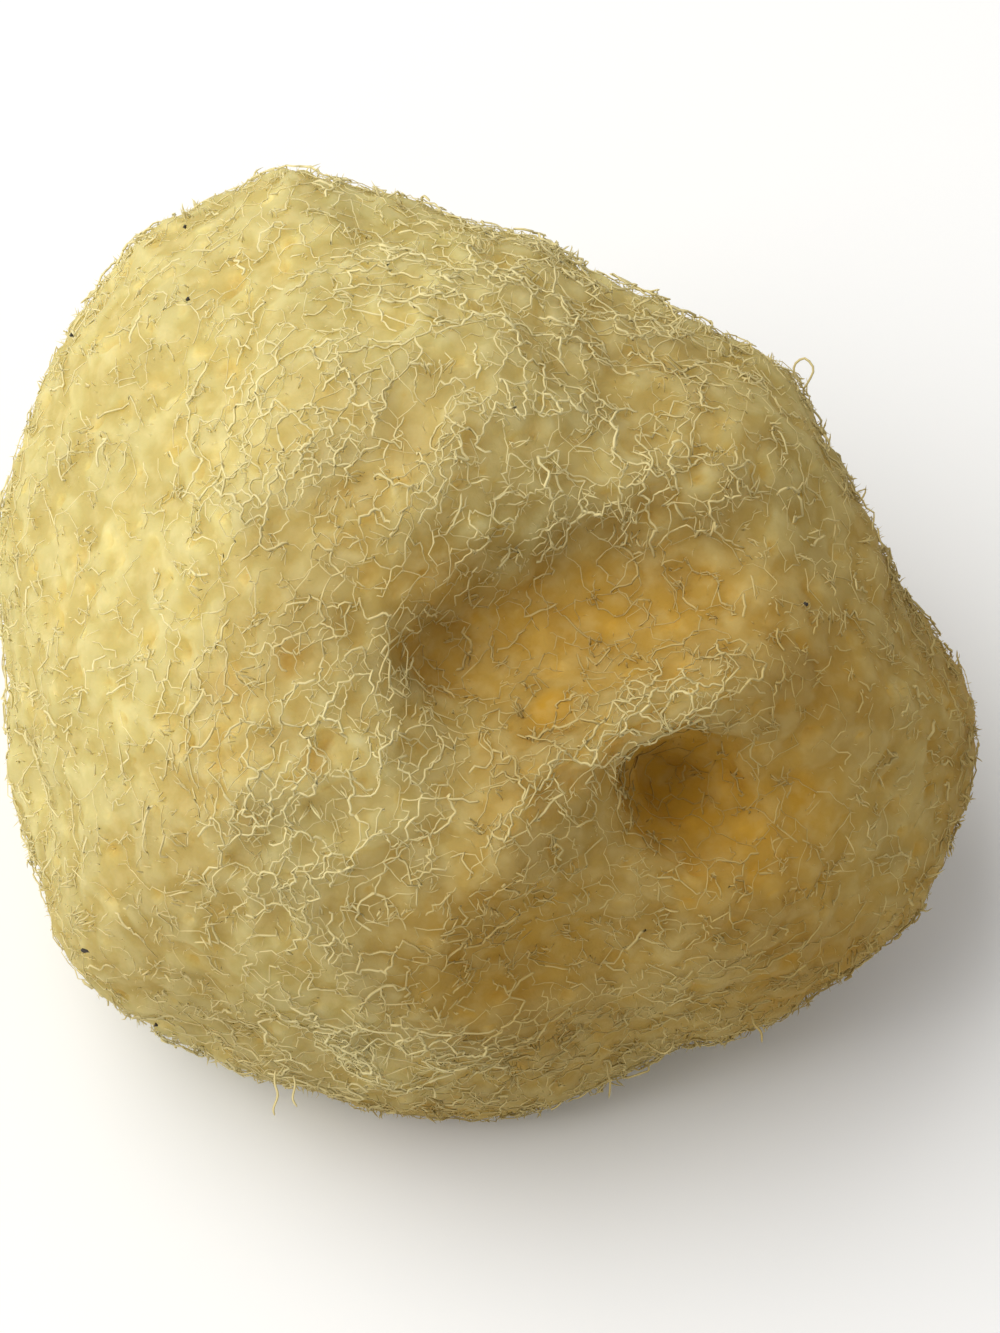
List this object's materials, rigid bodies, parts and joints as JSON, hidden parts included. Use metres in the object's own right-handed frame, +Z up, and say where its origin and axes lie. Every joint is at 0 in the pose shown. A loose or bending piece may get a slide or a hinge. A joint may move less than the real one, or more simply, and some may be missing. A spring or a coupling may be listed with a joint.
{
  "type": "sea sponge",
  "caption": "Natural bath sponge, dried and trimmed flat underneath: a lumpy dome of matted fibre with an open hollow, a large oscule and smaller pores.",
  "frame": {"origin": "middle of the sponge's footprint box, on the flat cut it rests on", "axes": "+Z up; the sponge's face, with the hollow and the oscule, looks towards -Y and up; +X is to the right of the face"},
  "size_m": [0.0914, 0.0826, 0.0691],
  "materials": {
    "sponge_fibre": "matte"
  },
  "bodies": {
    "root": {"sponge": "sponge_fibre"}
  },
  "joints": []
}
